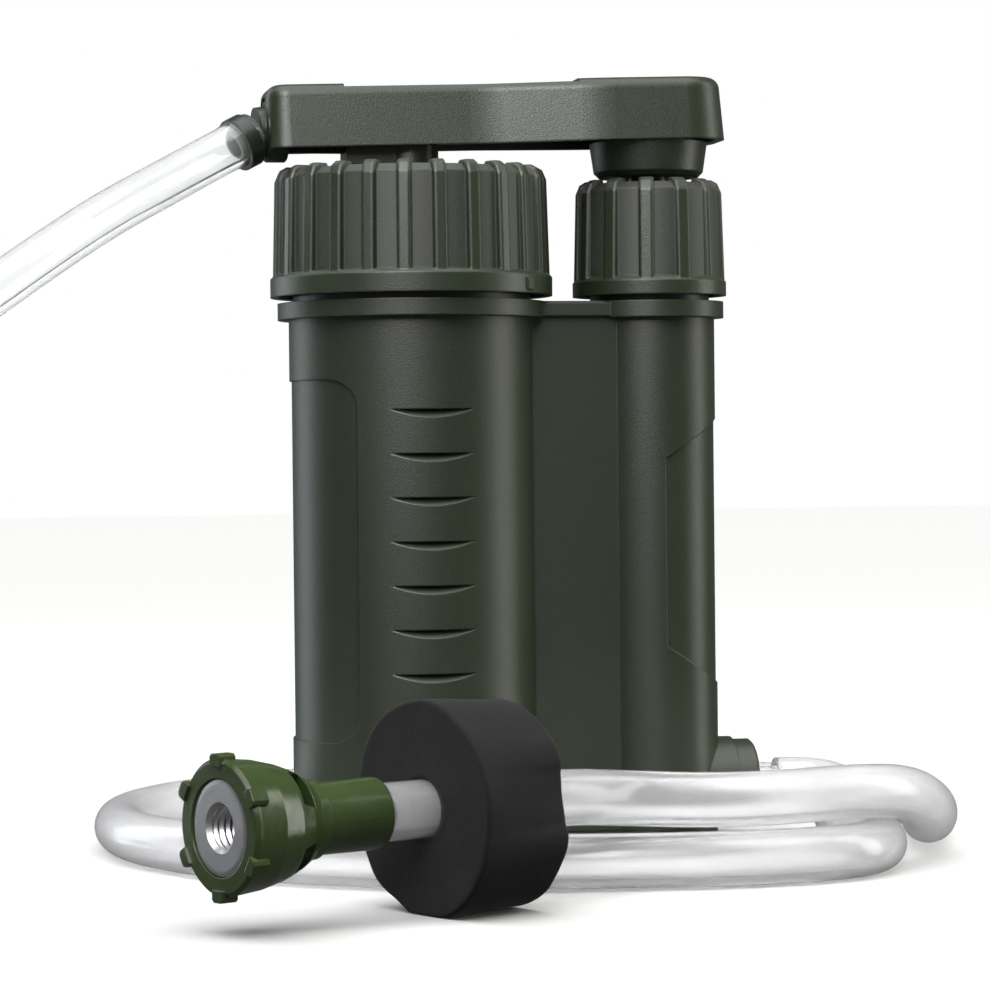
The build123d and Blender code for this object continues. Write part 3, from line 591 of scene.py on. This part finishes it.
plastics = {
    "oliveAbsShell": {"colour": "#2b3620", "colourLight": "#2f3b24", "roughness": 0.40, "grain": 0.28,
                      "drift": 30,
                      "edge": 0.35, "bump": 0.55, "ior": 1.53, "specular": 0.5},
    "oliveAbsCap": {"colour": "#2d3922", "colourLight": "#324027", "roughness": 0.38, "grain": 0.30,
                    "drift": 18,
                    "edge": 0.45, "bump": 0.6, "ior": 1.53, "specular": 0.5},
    "oliveAbsWideCap": {"colour": "#303c25", "colourLight": "#35432a", "roughness": 0.36,
                        "grain": 0.32, "drift": 18,
                        "edge": 0.45, "bump": 0.6, "ior": 1.53, "specular": 0.5,
                        "grooves": {"axisX": -24.5, "radius": 26.1, "colour": "#3a4034",
                                    "colourLight": "#4c5146",
                                    "rougher": 0.18}},
    "oliveAbsSlimCap": {"colour": "#303c25", "colourLight": "#35432a", "roughness": 0.36,
                        "grain": 0.32, "drift": 18,
                        "edge": 0.45, "bump": 0.6, "ior": 1.53, "specular": 0.5,
                        "grooves": {"axisX": 24.5, "radius": 14.1, "colour": "#3a4034",
                                    "colourLight": "#4c5146",
                                    "rougher": 0.18}},
    "darkOliveAbs": {"colour": "#1f281a", "colourLight": "#242e1e", "roughness": 0.35, "grain": 0.25,
                     "drift": 10,
                     "edge": 0.3, "bump": 0.3, "ior": 1.53, "specular": 0.5},
    "glossyGreenPolypropylene": {"colour": "#3b4c26", "colourLight": "#44572f", "roughness": 0.20,
                                 "grain": 1.6,
                                 "drift": 8, "edge": 0.3, "bump": 0.02, "ior": 1.49, "specular": 0.5},
    "whiteAbs": {"colour": "#dedfda", "colourLight": "#e6e6e0", "roughness": 0.42, "grain": 0.3,
                 "drift": 15,
                 "edge": 0.2, "bump": 0.2, "ior": 1.53, "specular": 0.5},
    "darkAcetal": {"colour": "#262b25", "colourLight": "#2b312a", "roughness": 0.28, "grain": 0.4,
                   "drift": 12,
                   "edge": 0.15, "bump": 0.1, "ior": 1.48, "specular": 0.5},
    "blackNitrileRubber": {"colour": "#171717", "colourLight": "#1d1d1d", "roughness": 0.62,
                           "grain": 0.2, "drift": 6,
                           "edge": 0.15, "bump": 0.4, "ior": 1.52, "specular": 0.4},
    "pottingResin": {"colour": "#b9a777", "colourLight": "#c6b586", "roughness": 0.25, "grain": 0.5,
                     "drift": 5,
                     "edge": 0.1, "bump": 0.1, "ior": 1.55, "specular": 0.5},
    "hollowFibre": {"colour": "#e9e8e2", "colourLight": "#f1f0ea", "roughness": 0.6, "grain": 0.15,
                    "drift": 4,
                    "edge": 0.1, "bump": 0.3, "ior": 1.45, "specular": 0.4},
    "pressedCarbon": {"colour": "#161616", "colourLight": "#242424", "roughness": 0.75, "grain": 0.6,
                      "drift": 1.2,
                      "edge": 0.1, "bump": 1.0, "ior": 1.6, "specular": 0.4},
    "openCellSponge": {"colour": "#d9d8cd", "colourLight": "#eeede4", "roughness": 0.9, "grain": 0.7,
                       "drift": 1.5,
                       "edge": 0.1, "bump": 1.0, "ior": 1.45, "specular": 0.3},
}
made = {name: mouldedPlastic(name, look) for name, look in plastics.items()}


def clearHose(name, look):
    # extruded flexible tube: clear or cloudy wall, smooth skin with faint lengthwise waviness
    material, tree = newMaterial(name)
    coords = addNode(tree, "ShaderNodeTexCoord")
    wave = addNode(tree, "ShaderNodeTexNoise", {"Scale": 1 / (look["wave"] * mm), "Detail": 2.0},
                   {"Vector": coords.outputs["Object"]})
    bump = addNode(tree, "ShaderNodeBump", {"Strength": look["bump"], "Distance": 0.0002},
                   {"Height": wave.outputs["Fac"]})
    cloud = addNode(tree, "ShaderNodeMapRange",
                    {"From Min": 0.3, "From Max": 0.7,
                     "To Min": look["clear"] - 0.04, "To Max": look["clear"] + 0.04},
                    {"Value": wave.outputs["Fac"]})
    shader = addNode(tree, "ShaderNodeBsdfPrincipled",
                     {"Base Color": linearColour(look["colour"]), "Roughness": look["roughness"],
                      "IOR": look["ior"]},
                     {"Transmission Weight": cloud.outputs[0], "Normal": bump.outputs[0]})
    finishMaterial(tree, shader)
    return material


hoses = {
    "clearPvcTube": {"colour": "#fafcfc", "clear": 0.94, "roughness": 0.05, "ior": 1.45,
                     "wave": 25, "bump": 0.02},
    "cloudySiliconeTube": {"colour": "#fdfdfe", "clear": 0.86, "roughness": 0.20, "ior": 1.42,
                           "wave": 25, "bump": 0.03},
}
for name, look in hoses.items():
    made[name] = clearHose(name, look)


def turnedSteel(name):
    # faced on a lathe: a fine scatter in the gloss from small tool scratches
    material, tree = newMaterial(name)
    coords = addNode(tree, "ShaderNodeTexCoord")
    fine = addNode(tree, "ShaderNodeTexNoise", {"Scale": 1 / (0.25 * mm), "Detail": 4.0},
                   {"Vector": coords.outputs["Object"]})
    rough = addNode(tree, "ShaderNodeMapRange",
                    {"From Min": 0.3, "From Max": 0.7, "To Min": 0.28, "To Max": 0.42},
                    {"Value": fine.outputs["Fac"]})
    edge = addNode(tree, "ShaderNodeBevel", {"Radius": 0.15 * mm}, samples=4)
    bump = addNode(tree, "ShaderNodeBump", {"Strength": 0.15, "Distance": 0.00003},
                   {"Height": fine.outputs["Fac"], "Normal": edge.outputs[0]})
    shader = addNode(tree, "ShaderNodeBsdfPrincipled",
                     {"Base Color": linearColour("#b4b4b6"), "Metallic": 1.0},
                     {"Roughness": rough.outputs[0], "Normal": bump.outputs[0]})
    finishMaterial(tree, shader)
    return material


made["turnedStainlessSteel"] = turnedSteel("turnedStainlessSteel")


def cutFoam(name):
    # sliced closed-cell foam: tiny open pores, knife drag, dusty lighter bloom on the edges
    material, tree = newMaterial(name)
    coords = addNode(tree, "ShaderNodeTexCoord")
    pores = addNode(tree, "ShaderNodeTexVoronoi", {"Scale": 1 / (0.35 * mm)},
                    {"Vector": coords.outputs["Object"]})
    drag = addNode(tree, "ShaderNodeTexNoise", {"Scale": 1 / (3.0 * mm), "Detail": 6.0, "Roughness": 0.7},
                   {"Vector": coords.outputs["Object"]})
    ramp = addNode(tree, "ShaderNodeValToRGB", links={"Fac": drag.outputs["Fac"]})
    ramp.color_ramp.elements[0].position = 0.35
    ramp.color_ramp.elements[0].color = linearColour("#0b0b0b")
    ramp.color_ramp.elements[1].position = 0.8
    ramp.color_ramp.elements[1].color = linearColour("#131314")
    height = addNode(tree, "ShaderNodeMath", operation="ADD",
                     links={0: pores.outputs["Distance"], 1: drag.outputs["Fac"]})
    bump = addNode(tree, "ShaderNodeBump", {"Strength": 0.35, "Distance": 0.0001},
                   {"Height": height.outputs[0]})
    shader = addNode(tree, "ShaderNodeBsdfPrincipled",
                     {"Roughness": 0.92, "Specular IOR Level": 0.25,
                      "Sheen Weight": 0.06, "Sheen Roughness": 0.6},
                     {"Base Color": ramp.outputs["Color"], "Normal": bump.outputs[0]})
    finishMaterial(tree, shader)
    return material


made["cutClosedCellFoam"] = cutFoam("cutClosedCellFoam")

finishes = {
    "olive_shell": "oliveAbsShell", "olive_cap": "oliveAbsCap", "dark_olive": "darkOliveAbs",
    "green_strainer": "glossyGreenPolypropylene", "clear_hose": "clearPvcTube",
    "milky_hose": "cloudySiliconeTube",
    "foam_black": "cutClosedCellFoam", "foam_white": "openCellSponge", "seal_rubber": "blackNitrileRubber",
    "white_plastic": "whiteAbs", "rod_plastic": "darkAcetal", "steel": "turnedStainlessSteel",
    "resin": "pottingResin", "membrane": "hollowFibre", "carbon": "pressedCarbon",
}
# the two ribbed caps have grooves, each about its own axis
ownFinishes = {"big_cap": "oliveAbsWideCap", "gland_nut": "oliveAbsSlimCap"}
for row in frame["record"]["subparts"]:
    node = nodes[row["node"]]
    node.data.materials.clear()
    node.data.materials.append(made[ownFinishes.get(row["node"], finishes[row["material_slot"]])])
foamFloatPiece.data.materials.append(made["cutClosedCellFoam"])
weightDiscPiece.data.materials.append(made["turnedStainlessSteel"])
intakePiece.data.materials.append(made["cloudySiliconeTube"])
outletPiece.data.materials.append(made["clearPvcTube"])
print("materials on", len(nodes), "nodes")
